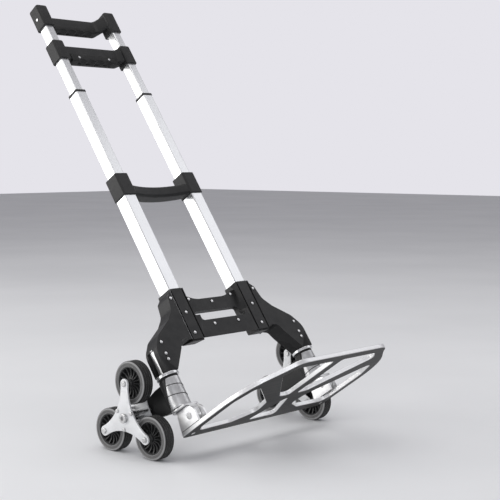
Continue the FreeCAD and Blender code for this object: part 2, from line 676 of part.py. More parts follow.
def make_stars():
    for side, s in SIDES.items():
        add(f"star_plate_outer_{side}", star_plate(s, OUTER_PLATE))
        add(f"star_plate_inner_{side}", star_plate(s, INNER_PLATE))
        hub = across_rod(11.0, s * INNER_PLATE[1], s * OUTER_PLATE[0], 0, 0)
        add(f"star_hub_{side}", hub.cut(across_rod(STAR_AXLE_R + RUNNING, s * 200, s * 260, 0, 0)))
        bolts = [headed_bolt(s, WHEEL_AXLE_R, 5.6, 3.0, on_star(a, STAR_R)) for a in ARMS]
        bolts += [headed_bolt(s, HUB_BOLT_R, 4.0, 2.2, on_star(a + math.pi / 3, HUB_BOLT_PLACE))
                  for a in ARMS]
        add(f"star_bolts_{side}", *bolts)


# ---- wheels ----
def tyre():
    """Tyre about the x axis, on the right-hand side."""
    width = WHEEL_SPAN[1] - WHEEL_SPAN[0]
    outer = Part.makeCylinder(WHEEL_R, width, V(WHEEL_SPAN[0], 0, 0), ACROSS)
    outer = outer.makeFillet(3.0, [e for e in outer.Edges if e.Length > 100 and e.BoundBox.XLength < 0.1])
    bore = Part.makeCylinder(RIM_R, width + 2, V(WHEEL_SPAN[0] - 1, 0, 0), ACROSS)
    return outer.cut(bore)


def rim():
    """Rim with a hub, a web in the middle and raised spokes on both faces."""
    x0, x1 = WHEEL_SPAN
    middle = (x0 + x1) / 2
    band = across_rod(RIM_R, x0 + 1, x1 - 1, 0, 0).cut(across_rod(RIM_R - 3, x0, x1, 0, 0))
    web = across_rod(RIM_R - 2, middle - 1.5, middle + 1.5, 0, 0)
    hub = across_rod(7.5, x0 - 2, x1 + 4, 0, 0)
    whole = band.fuse([web, hub])
    spokes = []
    for k in range(SPOKES):
        spoke = box(middle - 6, middle + 6, 5, RIM_R - 2, -0.9, 0.9)
        spoke.rotate(V(0, 0, 0), ACROSS, k * 360.0 / SPOKES)
        spokes.append(spoke)
    whole = whole.fuse(spokes)
    return whole.cut(across_rod(WHEEL_AXLE_R + RUNNING, x0 - 5, x1 + 8, 0, 0))


def make_wheels():
    tyre_shape, rim_shape = tyre(), rim()
    for side, s in SIDES.items():
        for name, angle in zip(NAMES, ARMS):
            place = V(0, *on_star(angle, STAR_R))
            for kind, shape in (("tyre", tyre_shape), ("rim", rim_shape)):
                piece = shape.copy() if s > 0 else mirrored(shape)
                piece.translate(place)
                add(f"{kind}_{name}_{side}", piece)


# ---- place the whole trolley and write it ----
def lean_and_place():
    """Leans every node back and puts the middle of the footprint at the origin."""
    for shape in NODES.values():
        shape.rotate(V(0, 0, 0), ACROSS, -LEAN_DEG)
    extents = [shape.optimalBoundingBox(False, False) for shape in NODES.values()]
    y_mid = (min(b.YMin for b in extents) + max(b.YMax for b in extents)) / 2
    shift = V(0, -y_mid, STAR_R * 0.5 + WHEEL_R)
    for shape in NODES.values():
        shape.translate(shift)
    return shift


def placed(point, shift):
    turned = FreeCAD.Rotation(ACROSS, -LEAN_DEG).multVec(point) + shift
    return [round(c / 1000, 5) for c in turned]


def main():
    make_tubes()
    make_collars()
    make_tube_pins()
    make_tube_caps()
    make_top_grip()
    make_release_grip()
    make_mid_bracket()
    make_body()
    make_body_rivets()
    make_legs()
    make_castings()
    make_toe_plate()
    make_carriers()
    make_stars()
    make_wheels()
    shift = lean_and_place()
    os.makedirs("parts", exist_ok=True)
    for name, shape in NODES.items():
        shape.exportStep(f"parts/{name}.step")
        print(name, shape.isValid(), len(shape.Solids), round(shape.Volume / 1000, 1))
    print("nodes", len(NODES), "shift", shift)
    print("hinge", placed(V(0, HINGE_Y, HINGE_Z), shift), "leg", placed(V(LEG_X, LEG_Y, 0), shift))
    for name, angle in zip(NAMES, ARMS):
        print("wheel", name, placed(V(WHEEL_SPAN[0], *on_star(angle, STAR_R)), shift))


main()
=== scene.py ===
"""Stair climbing trolley: the finish of each piece, and the rounded, turned and wound pieces.

Lengths are in metres, except in the outlines of small turned pieces, which are in millimetres.
The upright frame has its origin midway between the star axles: x across, y to the back, z up the
handle. The trolley stands leant back, so upright points are turned into place by UPRIGHT.
"""
import json
import math

import bmesh
import bpy
from mathutils import Matrix, Vector

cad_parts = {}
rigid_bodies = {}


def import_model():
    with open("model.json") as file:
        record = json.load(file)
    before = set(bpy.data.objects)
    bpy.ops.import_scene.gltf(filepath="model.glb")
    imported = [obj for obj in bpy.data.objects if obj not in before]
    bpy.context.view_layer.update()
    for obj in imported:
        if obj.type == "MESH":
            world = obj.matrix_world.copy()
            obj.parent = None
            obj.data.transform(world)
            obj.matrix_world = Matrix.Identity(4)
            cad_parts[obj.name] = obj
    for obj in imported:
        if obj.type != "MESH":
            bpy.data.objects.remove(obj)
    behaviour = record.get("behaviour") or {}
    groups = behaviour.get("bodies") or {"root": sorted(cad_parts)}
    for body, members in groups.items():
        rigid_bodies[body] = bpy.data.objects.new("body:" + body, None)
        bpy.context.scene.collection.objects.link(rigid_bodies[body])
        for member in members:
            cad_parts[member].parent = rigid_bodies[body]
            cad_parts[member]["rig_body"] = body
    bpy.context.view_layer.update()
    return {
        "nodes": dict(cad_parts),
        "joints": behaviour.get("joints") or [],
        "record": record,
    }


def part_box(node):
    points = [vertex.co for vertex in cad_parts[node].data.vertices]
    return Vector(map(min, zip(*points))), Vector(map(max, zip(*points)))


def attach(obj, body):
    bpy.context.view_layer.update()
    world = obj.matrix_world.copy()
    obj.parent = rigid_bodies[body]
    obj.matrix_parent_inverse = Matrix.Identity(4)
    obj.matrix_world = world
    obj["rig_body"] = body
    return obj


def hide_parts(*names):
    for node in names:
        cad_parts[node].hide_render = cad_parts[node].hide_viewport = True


for leftover in list(bpy.data.objects):
    bpy.data.objects.remove(leftover)

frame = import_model()

MM = 0.001
SIDES = {"left": -1, "right": 1}
WHEELS = ("top", "front", "rear")

# ---- the upright frame, from the joints ----
joints = {joint["name"]: joint for joint in frame["joints"]}
ACROSS = Vector((1, 0, 0))
UP = Vector(joints["mid_slide"]["axis"]).normalized()
BACK = UP.cross(ACROSS)
LEAN = math.atan2(UP.y, UP.z)
star_centres = [Vector(joints[f"star_{side}_spin"]["pos_m"]) for side in SIDES]
HUB = (star_centres[0] + star_centres[1]) / 2
UPRIGHT = Matrix.Translation(HUB) @ Matrix((ACROSS, BACK, UP)).transposed().to_4x4()


def at(x, y, z):
    """Point of the upright frame, given in millimetres, as it stands on the floor."""
    return UPRIGHT @ (Vector((x, y, z)) * MM)


# ---- camera and lights ----
CAMERA_FROM_HUB = (-1.7030, -1.6347, 0.4813)
CAMERA_AZIMUTH = math.radians(-47.68)
CAMERA_PITCH = math.radians(4.4)
CAMERA_LENS = 85.07
CAMERA_REACH = 60


def make_camera():
    data = bpy.data.cameras.new("camera")
    data.lens = CAMERA_LENS
    data.clip_end = CAMERA_REACH
    camera = bpy.data.objects.new("camera", data)
    bpy.context.scene.collection.objects.link(camera)
    camera.location = HUB + Vector(CAMERA_FROM_HUB)
    level = math.cos(CAMERA_PITCH)
    onward = Vector((-math.sin(CAMERA_AZIMUTH) * level, math.cos(CAMERA_AZIMUTH) * level,
                     -math.sin(CAMERA_PITCH)))
    camera.rotation_mode = "QUATERNION"
    camera.rotation_quaternion = onward.to_track_quat("-Z", "Y")
    bpy.context.scene.camera = camera


def softbox(name, place, aim, size, watts, colour=(1, 1, 1)):
    data = bpy.data.lights.new(name, "AREA")
    data.shape = "RECTANGLE"
    data.size, data.size_y = size
    data.energy = watts
    data.color = colour
    light = bpy.data.objects.new(name, data)
    bpy.context.scene.collection.objects.link(light)
    light.location = place
    light.rotation_mode = "QUATERNION"
    light.rotation_quaternion = (Vector(aim) - Vector(place)).to_track_quat("-Z", "Y")
    light.visible_camera = False


AMBIENT = 0.46      # strength of the surroundings as light and in reflections
BACKDROP = 0.98     # and as the camera sees them
SURROUNDINGS = (0.80, 0.79, 0.84, 1)


def make_studio():
    softbox("side_white", (-2.3, 1.9, 0.8), (0, 0, 0.45), (2.6, 2.2), 56, (1.0, 0.99, 0.975))
    softbox("face_grey", (2.0, -1.0, 2.1), (0, 0, 0.5), (1.6, 1.6), 7, (0.97, 0.98, 1.0))
    softbox("ceiling", (-0.6, 0.6, 4.6), (0, 0.3, 0), (6.0, 6.0), 120, (1.0, 0.995, 0.98))
    softbox("low_front", (-2.2, -1.9, 0.9), (0, 0, 0.2), (1.0, 1.0), 14, (0.95, 0.97, 1.0))
    scene = bpy.context.scene
    world = bpy.data.worlds.new("studio")
    scene.world = world
    world.use_nodes = True
    background = world.node_tree.nodes["Background"]
    background.inputs["Color"].default_value = SURROUNDINGS
    seen = world.node_tree.nodes.new("ShaderNodeLightPath").outputs["Is Camera Ray"]
    strength = world.node_tree.nodes.new("ShaderNodeMapRange")
    strength.inputs["To Min"].default_value = AMBIENT
    strength.inputs["To Max"].default_value = BACKDROP
    world.node_tree.links.new(seen, strength.inputs["Value"])
    world.node_tree.links.new(strength.outputs["Result"], background.inputs["Strength"])
    scene.view_settings.view_transform = "Standard"
    scene.view_settings.look = "None"


# ---- shader helpers ----
def shader_node(tree, kind, links=None, **settings):
    """New node: settings are its properties, links its inputs by name, as sockets or numbers."""
    made = tree.nodes.new(kind)
    for key, value in settings.items():
        setattr(made, key, value)
    for key, value in (links or {}).items():
        if isinstance(value, bpy.types.NodeSocket):
            tree.links.new(value, made.inputs[key])
        else:
            made.inputs[key].default_value = value
    return made


def shader_group(name, inputs, outputs):
    """Empty node group with (name, kind, default) inputs and (name, kind) outputs."""
    group = bpy.data.node_groups.new(name, "ShaderNodeTree")
    for label, kind, value in inputs:
        socket = group.interface.new_socket(label, in_out="INPUT", socket_type=kind)
        socket.default_value = value
    for label, kind in outputs:
        group.interface.new_socket(label, in_out="OUTPUT", socket_type=kind)
    return group, group.nodes.new("NodeGroupInput").outputs, group.nodes.new("NodeGroupOutput").inputs


FLOAT, VECTOR = "NodeSocketFloat", "NodeSocketVector"


def make_upright_place():
    """Place on the trolley, measured in the upright frame, from any piece's own coordinates."""
    group, _, out = shader_group("upright_place", [], [("Place", VECTOR)])
    own = shader_node(group, "ShaderNodeTexCoord").outputs["Object"]
    turned = shader_node(group, "ShaderNodeVectorRotate", {"Vector": own, "Center": HUB, "Angle": LEAN},
                         rotation_type="X_AXIS")
    moved = shader_node(group, "ShaderNodeVectorMath", {0: turned.outputs[0], 1: HUB},
                        operation="SUBTRACT")
    group.links.new(moved.outputs[0], out["Place"])


def make_moulded_grain():
    """Spark-eroded grain of moulded plastic: fine pits, and slow changes of tone."""
    group, given, out = shader_group("moulded_grain", [("Fineness", FLOAT, 900.0)],
                                     [("Height", FLOAT), ("Tone", FLOAT)])
    own = shader_node(group, "ShaderNodeTexCoord").outputs["Object"]
    pits = shader_node(group, "ShaderNodeTexVoronoi", {"Vector": own, "Scale": given["Fineness"]})
    fine = shader_node(group, "ShaderNodeTexNoise", {"Vector": own, "Scale": given["Fineness"],
                                                     "Detail": 4.0})
    height = shader_node(group, "ShaderNodeMath", {0: pits.outputs["Distance"], 1: fine.outputs["Fac"]},
                         operation="MULTIPLY")
    slow = shader_node(group, "ShaderNodeTexNoise", {"Vector": own, "Scale": 22.0, "Detail": 5.0,
                                                     "Roughness": 0.62})
    group.links.new(height.outputs[0], out["Height"])
    group.links.new(slow.outputs["Fac"], out["Tone"])


def make_brushed_lines():
    """Fine lines of brushed or drawn metal. Stretch is large across the lines, small along them."""
    group, given, out = shader_group("brushed_lines", [("Stretch", VECTOR, (900.0, 900.0, 5.0))],
                                     [("Lines", FLOAT), ("Cloud", FLOAT)])
    placing = bpy.data.node_groups["upright_place"]
    place = shader_node(group, "ShaderNodeGroup", node_tree=placing).outputs[0]
    scaled = shader_node(group, "ShaderNodeVectorMath", {0: place, 1: given["Stretch"]},
                         operation="MULTIPLY")
    lines = shader_node(group, "ShaderNodeTexNoise", {"Vector": scaled.outputs[0], "Scale": 1.0,
                                                      "Detail": 4.0, "Roughness": 0.7})
    cloud = shader_node(group, "ShaderNodeTexNoise", {"Vector": place, "Scale": 16.0, "Detail": 4.0})
    group.links.new(lines.outputs["Fac"], out["Lines"])
    group.links.new(cloud.outputs["Fac"], out["Cloud"])


def make_worn_edges():
    """Mask of outer and inner edges, from how much a rounded normal turns away, broken up by noise."""
    group, given, out = shader_group("worn_edges", [("Width", FLOAT, 0.001), ("Breakup", FLOAT, 0.5)],
                                     [("Mask", FLOAT)])
    rounded = shader_node(group, "ShaderNodeBevel", {"Radius": given["Width"]}, samples=6)
    flat = shader_node(group, "ShaderNodeNewGeometry").outputs["Normal"]
    alike = shader_node(group, "ShaderNodeVectorMath", {0: rounded.outputs[0], 1: flat},
                        operation="DOT_PRODUCT")
    edge = shader_node(group, "ShaderNodeMapRange", {"Value": alike.outputs["Value"],
                                                     "From Min": 0.985, "From Max": 0.80})
    own = shader_node(group, "ShaderNodeTexCoord").outputs["Object"]
    rub = shader_node(group, "ShaderNodeTexNoise", {"Vector": own, "Scale": 180.0, "Detail": 6.0})
    kept = shader_node(group, "ShaderNodeMapRange", {"Value": rub.outputs["Fac"], "From Min": 0.35,
                                                     "From Max": 0.62})
    uneven = shader_node(group, "ShaderNodeMix", {"Factor": given["Breakup"], "A": 1.0,
                                                  "B": kept.outputs["Result"]})
    mask = shader_node(group, "ShaderNodeMath", {0: edge.outputs["Result"], 1: uneven.outputs["Result"]},
                       operation="MULTIPLY", use_clamp=True)
    group.links.new(mask.outputs[0], out["Mask"])


def make_dust_film():
    """Thin dust that lies in patches on faces that look up."""
    group, given, out = shader_group("dust_film", [("Amount", FLOAT, 0.3)], [("Mask", FLOAT)])
    coords = shader_node(group, "ShaderNodeTexCoord").outputs
    facing = shader_node(group, "ShaderNodeSeparateXYZ", {"Vector": coords["Normal"]}).outputs["Z"]
    upward = shader_node(group, "ShaderNodeMapRange", {"Value": facing, "From Min": 0.1,
                                                       "From Max": 0.95})
    patches = shader_node(group, "ShaderNodeTexNoise", {"Vector": coords["Object"], "Scale": 45.0,
                                                        "Detail": 7.0, "Roughness": 0.65})
    patchy = shader_node(group, "ShaderNodeMapRange", {"Value": patches.outputs["Fac"], "From Min": 0.35,
                                                       "From Max": 0.75})
    lying = shader_node(group, "ShaderNodeMath",
                        {0: upward.outputs["Result"], 1: patchy.outputs["Result"]},
                        operation="MULTIPLY")
    mask = shader_node(group, "ShaderNodeMath", {0: lying.outputs[0], 1: given["Amount"]},
                       operation="MULTIPLY", use_clamp=True)
    group.links.new(mask.outputs[0], out["Mask"])


class Finish:
    """A material in the making: its node tree, its Principled shader and short ways to feed it."""

    def __init__(self, name, metallic=0.0, roughness=0.5, **constants):
        self.material = bpy.data.materials.new(name)
        self.material.use_nodes = True
        self.tree = self.material.node_tree
        self.shader = self.tree.nodes["Principled BSDF"]
        self.shader.inputs["Metallic"].default_value = metallic
        self.shader.inputs["Roughness"].default_value = roughness
        for key, value in constants.items():
            self.shader.inputs[key.replace("_", " ")].default_value = value

    def add(self, kind, links=None, **settings):
        return shader_node(self.tree, kind, links, **settings)

    def group(self, name, links=None):
        return self.add("ShaderNodeGroup", links, node_tree=bpy.data.node_groups[name]).outputs

    def feed(self, key, socket):
        self.tree.links.new(socket, self.shader.inputs[key])

    def mix(self, factor, a, b):
        """Mix of two colours or two numbers."""
        plain = isinstance(a, (int, float))
        kind = "FLOAT" if plain else "RGBA"
        mixer = self.add("ShaderNodeMix", data_type=kind)
        places = {"FLOAT": (0, 2, 3, 0), "RGBA": (0, 6, 7, 2)}[kind]
        for place, value in zip(places, (factor, a, b)):
            if isinstance(value, bpy.types.NodeSocket):
                self.tree.links.new(value, mixer.inputs[place])
            else:
                mixer.inputs[place].default_value = value
        return mixer.outputs[places[3]]

    def span(self, value, low, high, to_low, to_high):
        limits = {"Value": value, "From Min": low, "From Max": high, "To Min": to_low, "To Max": to_high}
        return self.add("ShaderNodeMapRange", limits).outputs["Result"]

    def bump(self, height, distance, strength=1.0):
        bump = self.add("ShaderNodeBump", {"Height": height, "Distance": distance, "Strength": strength})
        self.feed("Normal", bump.outputs["Normal"])


def grey(value, warm=0.0):
    return (value * (1 + warm), value, value * (1 - warm), 1)


# ---- materials ----
def moulded_plastic(name, tone, rough, fineness, depth, edge_width=0.0009, edge_tone=2.6, dust=0.12):
    """Matt black moulded plastic: pitted grain, rubbed edges, a little dust on top."""
    m = Finish(name, Specular_IOR_Level=0.34)
    grain = m.group("moulded_grain", {"Fineness": fineness})
    worn = m.group("worn_edges", {"Width": edge_width, "Breakup": 0.6})["Mask"]
    dusty = m.group("dust_film", {"Amount": dust})["Mask"]
    base = m.mix(m.span(grain["Tone"], 0.3, 0.7, 0, 1), grey(tone * 0.78, -0.03),
                 grey(tone * 1.25, -0.02))
    base = m.mix(m.span(worn, 0, 1, 0, 0.55), base, grey(tone * edge_tone))
    base = m.mix(dusty, base, grey(0.20, 0.04))
    m.feed("Base Color", base)
    m.feed("Roughness", m.span(grain["Height"], 0.1, 0.5, rough - 0.07, rough + 0.08))
    m.bump(grain["Height"], depth)
    return m.material


def drawn_aluminium(name, tone, rough, stretch, depth=0.00003):
    """Satin aluminium with fine lines along the way it was drawn or brushed."""
    m = Finish(name, metallic=0.9)
    brushed = m.group("brushed_lines", {"Stretch": stretch})
    worn = m.group("worn_edges", {"Width": 0.0006, "Breakup": 0.3})["Mask"]
    base = m.mix(m.span(brushed["Lines"], 0.25, 0.75, 0, 1), grey(tone * 0.86, -0.012),
                 grey(tone, -0.004))
    base = m.mix(m.span(brushed["Cloud"], 0.35, 0.7, 0, 0.18), base, grey(tone * 0.72, -0.01))
    base = m.mix(m.span(worn, 0, 1, 0, 0.7), base, grey(min(1.0, tone * 1.12)))
    m.feed("Base Color", base)
    m.feed("Roughness", m.span(brushed["Lines"], 0.25, 0.75, rough - 0.06, rough + 0.08))
    m.bump(brushed["Lines"], depth)
    return m.material


def cast_metal(name, tone, rough):
    """Cast aluminium, shot-blasted: small bumps, patchy tone and brighter edges."""
    m = Finish(name, metallic=0.85)
    grain = m.group("moulded_grain", {"Fineness": 420.0})
    worn = m.group("worn_edges", {"Width": 0.0014, "Breakup": 0.35})["Mask"]
    base = m.mix(m.span(grain["Tone"], 0.35, 0.65, 0, 1), grey(tone * 0.72, -0.01), grey(tone * 1.08))
    base = m.mix(m.span(worn, 0, 1, 0, 0.8), base, grey(min(1.0, tone * 1.45)))
    m.feed("Base Color", base)
    m.feed("Roughness", m.span(grain["Height"], 0.1, 0.5, rough - 0.06, rough + 0.12))
    m.bump(grain["Height"], 0.00012)
    return m.material


def painted_star(name):
    """Star plates: pale silver powder coat with a fine orange peel and rubbed edges."""
    m = Finish(name, metallic=0.25, Coat_Weight=0.25, Coat_Roughness=0.3)
    grain = m.group("moulded_grain", {"Fineness": 520.0})
    worn = m.group("worn_edges", {"Width": 0.0010, "Breakup": 0.4})["Mask"]
    base = m.mix(m.span(grain["Tone"], 0.3, 0.7, 0, 1), grey(0.60, -0.012), grey(0.72, -0.01))
    base = m.mix(m.span(worn, 0, 1, 0, 0.8), base, grey(0.92))
    m.feed("Base Color", base)
    m.feed("Roughness", m.span(grain["Height"], 0.1, 0.5, 0.34, 0.50))
    m.bump(grain["Height"], 0.00004)
    return m.material


def bright_steel(name, tone, rough):
    """Plated rivets, bolts and pins, with hairline rubbing."""
    m = Finish(name, metallic=1.0)
    grain = m.group("moulded_grain", {"Fineness": 1500.0})
    base = m.mix(m.span(grain["Tone"], 0.35, 0.65, 0, 1), grey(tone * 0.82), grey(tone))
    m.feed("Base Color", base)
    m.feed("Roughness", m.span(grain["Height"], 0.1, 0.5, rough - 0.05, rough + 0.1))
    m.bump(grain["Height"], 0.00001)
    return m.material


def toe_plate_metal(name):
    """Toe plate: brushed top, a painted highlight on its walls and painted shade on its underside."""
    m = Finish(name, Specular_IOR_Level=0.06)
    brushed = m.group("brushed_lines", {"Stretch": (5.0, 700.0, 700.0)})
    grain = m.group("moulded_grain", {"Fineness": 700.0})
    worn = m.group("worn_edges", {"Width": 0.0012, "Breakup": 0.25})["Mask"]
    facing = m.add("ShaderNodeTexCoord").outputs["Normal"]
    along = m.add("ShaderNodeVectorMath", {0: facing, 1: UP}, operation="DOT_PRODUCT").outputs["Value"]
    # Painted shade: faces that look down are painted near black and lose their metal.
    painted_shade_under = m.span(along, -0.80, -0.96, 0, 1)
    # Painted highlight: faces across the up direction, the walls, are painted near white.
    wall_with_painted_highlight = m.span(m.add("ShaderNodeMath", {0: along}, operation="ABSOLUTE").outputs[0], 0.55, 0.25, 0, 1)
    top = m.mix(m.span(brushed["Lines"], 0.25, 0.75, 0, 1), grey(0.50), grey(0.64))
    base = m.mix(wall_with_painted_highlight, top, grey(0.93))
    painted_shade_colour = m.mix(m.span(grain["Tone"], 0.3, 0.7, 0, 1), grey(0.013), grey(0.026))
    base = m.mix(painted_shade_under, base, painted_shade_colour)
    m.feed("Metallic", m.mix(painted_shade_under, 0.85, 0.0))
    base = m.mix(m.span(worn, 0, 1, 0, 0.6), base, grey(0.90))
    m.feed("Base Color", base)
    m.feed("Roughness", m.span(brushed["Lines"], 0.25, 0.75, 0.28, 0.44))
    m.bump(brushed["Lines"], 0.00003)
    return m.material


def wheel_rubber(name):
    """Tyre: black tread, grey scuffed side walls with a painted highlight along their outer lip. The
    wheel's own x axis is its axle.
    """
    m = Finish(name, Specular_IOR_Level=0.35)
    own = m.add("ShaderNodeTexCoord").outputs["Object"]
    along = m.add("ShaderNodeSeparateXYZ", {"Vector": own}).outputs["X"]
    off_middle = m.add("ShaderNodeMath", {0: along}, operation="ABSOLUTE").outputs[0]
    side = m.span(off_middle, 0.0104, 0.0112, 0, 1)
    grain = m.group("moulded_grain", {"Fineness": 800.0})
    worn = m.group("worn_edges", {"Width": 0.0010, "Breakup": 0.5})["Mask"]
    tread = m.mix(m.span(grain["Tone"], 0.35, 0.7, 0, 1), grey(0.010), grey(0.022, 0.03))
    flat = m.add("ShaderNodeVectorMath", {0: own, 1: (0, 1, 1)}, operation="MULTIPLY").outputs["Vector"]
    radius = m.add("ShaderNodeVectorMath", {0: flat}, operation="LENGTH").outputs["Value"]
    wall_with_painted_highlight = m.mix(m.span(grain["Tone"], 0.35, 0.7, 0, 1), grey(0.080), grey(0.125, 0.02))
    # Painted highlight: a lighter ring painted along the outer lip of the side wall.
    wall_with_painted_highlight = m.mix(m.span(radius, 0.0366, 0.0378, 0, 1), wall_with_painted_highlight, grey(0.26))
    wall_with_painted_highlight = m.mix(m.span(radius, 0.0325, 0.0315, 0, 1), wall_with_painted_highlight, grey(0.19))
    base = m.mix(side, tread, wall_with_painted_highlight)
    base = m.mix(m.span(worn, 0, 1, 0, 0.5), base, grey(0.30))
    m.feed("Base Color", base)
    m.feed("Roughness", m.span(grain["Height"], 0.1, 0.5, 0.52, 0.72))
    m.bump(grain["Height"], 0.00006)
    return m.material


def make_materials():
    """One material for each of the record's slots."""
    make_upright_place()
    make_moulded_grain()
    make_brushed_lines()
    make_worn_edges()
    make_dust_film()
    along_tube = (1100.0, 1100.0, 6.0)
    return {
        "tube_aluminium": drawn_aluminium("tube_aluminium", 0.90, 0.30, along_tube),
        "leg_aluminium": drawn_aluminium("leg_aluminium", 0.62, 0.34, along_tube),
        "bright_ring": drawn_aluminium("bright_ring", 0.88, 0.24, (8.0, 8.0, 900.0)),
        "cast_aluminium": cast_metal("cast_aluminium", 0.62, 0.34),
        "spring_steel": bright_steel("spring_steel", 0.07, 0.35),
        "carrier_plastic": moulded_plastic("carrier_plastic", 0.009, 0.48, 700.0, 0.00012),
        "axle_steel": bright_steel("axle_steel", 0.58, 0.24),
        "star_plate": painted_star("star_plate"),
        "grip_plastic": moulded_plastic("grip_plastic", 0.011, 0.50, 1000.0, 0.00010),
        "tyre_rubber": wheel_rubber("tyre_rubber"),
        "rim_plastic": moulded_plastic("rim_plastic", 0.018, 0.42, 900.0, 0.00008, dust=0.1),
        "rivet_steel": bright_steel("rivet_steel", 0.88, 0.18),
        "body_plastic": moulded_plastic("body_plastic", 0.009, 0.46, 1000.0, 0.00010),
        "finger_pad": moulded_plastic("finger_pad", 0.006, 0.62, 1300.0, 0.00012, dust=0.1),
        "toe_aluminium": toe_plate_metal("toe_aluminium"),
    }


# ---- mesh helpers ----
def keep_piece(name, mesh, slot, body, replaces=()):
    """Turns a finished mesh into a piece that rides on its body."""
    piece = bpy.data.objects.new(name, mesh)
    bpy.context.scene.collection.objects.link(piece)
    mesh.materials.append(materials[slot])
    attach(piece, body)
    if replaces:
        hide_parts(*replaces)
    return piece


def finished_mesh(name, bm, sharp_deg=35.0):
    mesh = bpy.data.meshes.new(name)
    bmesh.ops.recalc_face_normals(bm, faces=bm.faces)
    bm.to_mesh(mesh)
    bm.free()
    for polygon in mesh.polygons:
        polygon.use_smooth = True
    mesh.set_sharp_from_angle(angle=math.radians(sharp_deg))
    return mesh


def body_of_node(node):
    return frame["nodes"][node]["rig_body"]


def slot_of_node(node):
    return node_slots[node]


def welded_copy(node):
    """The node's mesh as one closed skin, with its flat faces joined up."""
    bm = bmesh.new()
    bm.from_mesh(frame["nodes"][node].data)
    bmesh.ops.remove_doubles(bm, verts=bm.verts, dist=2e-6)
    bmesh.ops.dissolve_limit(bm, angle_limit=math.radians(0.6), verts=bm.verts, edges=bm.edges,
                             delimit=set())
    return bm


def round_edges(bm, width, segments=3, sharp_deg=32.0):
    sharp = [e for e in bm.edges if e.is_manifold and e.calc_face_angle(0) > math.radians(sharp_deg)]
    bmesh.ops.bevel(bm, geom=sharp, offset=width, offset_type="OFFSET", segments=segments, profile=0.6,
                    affect="EDGES", clamp_overlap=True)
    bmesh.ops.remove_doubles(bm, verts=bm.verts, dist=2e-6)
    bmesh.ops.triangulate(bm, faces=[f for f in bm.faces if len(f.verts) > 4])


def rounded_piece(node, width, name):
    """Copy of a node with its sharp edges rounded, in the node's place."""
    bm = welded_copy(node)
    round_edges(bm, width)
    return keep_piece(name, finished_mesh(name, bm), slot_of_node(node), body_of_node(node), [node])


def lathe(bm, profile, place, axis, segments=64):
    """Turns a closed outline of (radius, height) in millimetres about an axis. Radius 0 is a pole."""
    turn = axis.to_track_quat("Z", "Y").to_matrix()
    rings = []
    for radius, height in profile:
        count = 1 if radius == 0 else segments
        ring = []
        for k in range(count):
            angle = 2 * math.pi * k / segments
            point = Vector((radius * math.cos(angle), radius * math.sin(angle), height)) * MM
            ring.append(bm.verts.new(place + turn @ point))
        rings.append(ring)
    closed = profile[0][0] > 0 and profile[-1][0] > 0
    pairs = list(zip(rings, rings[1:])) + ([(rings[-1], rings[0])] if closed else [])
    for low, high in pairs:
        for k in range(segments):
            after = (k + 1) % segments
            corners = [low[k % len(low)], low[after % len(low)],
                       high[after % len(high)], high[k % len(high)]]
            unique = list(dict.fromkeys(corners))
            if len(unique) > 2:
                bm.faces.new(unique)


def arc_points(centre, radius, start_deg, end_deg, steps):
    """Points of an arc in an outline, both ends included."""
    return [(centre[0] + radius * math.cos(math.radians(start_deg + (end_deg - start_deg) * k / steps)),
             centre[1] + radius * math.sin(math.radians(start_deg + (end_deg - start_deg) * k / steps)))
            for k in range(steps + 1)]


def islands(node):
    """Centre and points of each separate solid of a node."""
    bm = welded_copy(node)
    left, centres = set(bm.verts), []
    while left:
        stack, found = [left.pop()], []
        while stack:
            vert = stack.pop()
            found.append(vert.co.copy())
            for edge in vert.link_edges:
                other = edge.other_vert(vert)
                if other in left:
                    left.remove(other)
                    stack.append(other)
        low = Vector(min(p[i] for p in found) for i in range(3))
        high = Vector(max(p[i] for p in found) for i in range(3))
        centres.append(((low + high) / 2, found))
    bm.free()
    return centres


# ---- floor ----
FLOOR_HALF = 14


def make_floor():
    bm = bmesh.new()
    bmesh.ops.create_grid(bm, x_segments=2, y_segments=2, size=FLOOR_HALF)
    floor = bpy.data.objects.new("floor", finished_mesh("floor", bm))
    bpy.context.scene.collection.objects.link(floor)
    m = Finish("floor_pale", roughness=0.55)
    own = m.add("ShaderNodeTexCoord").outputs["Object"]
    cloud = m.add("ShaderNodeTexNoise", {"Vector": own, "Scale": 1.3, "Detail": 5.0}).outputs["Fac"]
    fine = m.add("ShaderNodeTexNoise", {"Vector": own, "Scale": 260.0, "Detail": 3.0}).outputs["Fac"]
    m.feed("Base Color", m.mix(m.span(cloud, 0.3, 0.7, 0, 1), grey(0.80, -0.012), grey(0.86, -0.01)))
    m.bump(fine, 0.0002)
    floor.data.materials.append(m.material)


# ---- wheels ----
TYRE_HALF = [(30.6, 0), (30.6, 11.0), (31.6, 12.0), (36.2, 12.0), (36.6, 11.6), (37.2, 11.6),
             (37.6, 12.0)]
SHOULDER = arc_points((38.2, 9.2), 2.8, 90, 0, 6)
GROOVE_PLACES = (5.6, 0.0, -5.6)
TREAD_R, GROOVE_R = 41.0, 40.2


def tyre_outline():
    """Closed outline of the tyre: bore, side walls with a moulded line, rounded shoulders, grooves."""
    near = TYRE_HALF[1:] + SHOULDER
    tread = []
    for place in GROOVE_PLACES:
        tread += [(TREAD_R, place + 0.9), (GROOVE_R, place + 0.55), (GROOVE_R, place - 0.55),
                  (TREAD_R, place - 0.9)]
    far = [(r, -x) for r, x in reversed(near)]
    return near + tread + far


def make_tyre(name, side):
    node = f"tyre_{name}_{side}"
    centre = wheel_centre(name, side)
    bm = bmesh.new()
    lathe(bm, tyre_outline(), Vector(), ACROSS, 112)
    piece = bpy.data.objects.new(f"{node}_moulded", finished_mesh(node, bm))
    place_wheel_piece(piece, centre, node)


def wheel_centre(name, side):
    low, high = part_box(f"tyre_{name}_{side}")
    return (low + high) / 2


def place_wheel_piece(piece, centre, node):
    bpy.context.scene.collection.objects.link(piece)
    piece.data.materials.append(materials[slot_of_node(node)])
    piece.location = centre
    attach(piece, body_of_node(node))
    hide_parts(node)


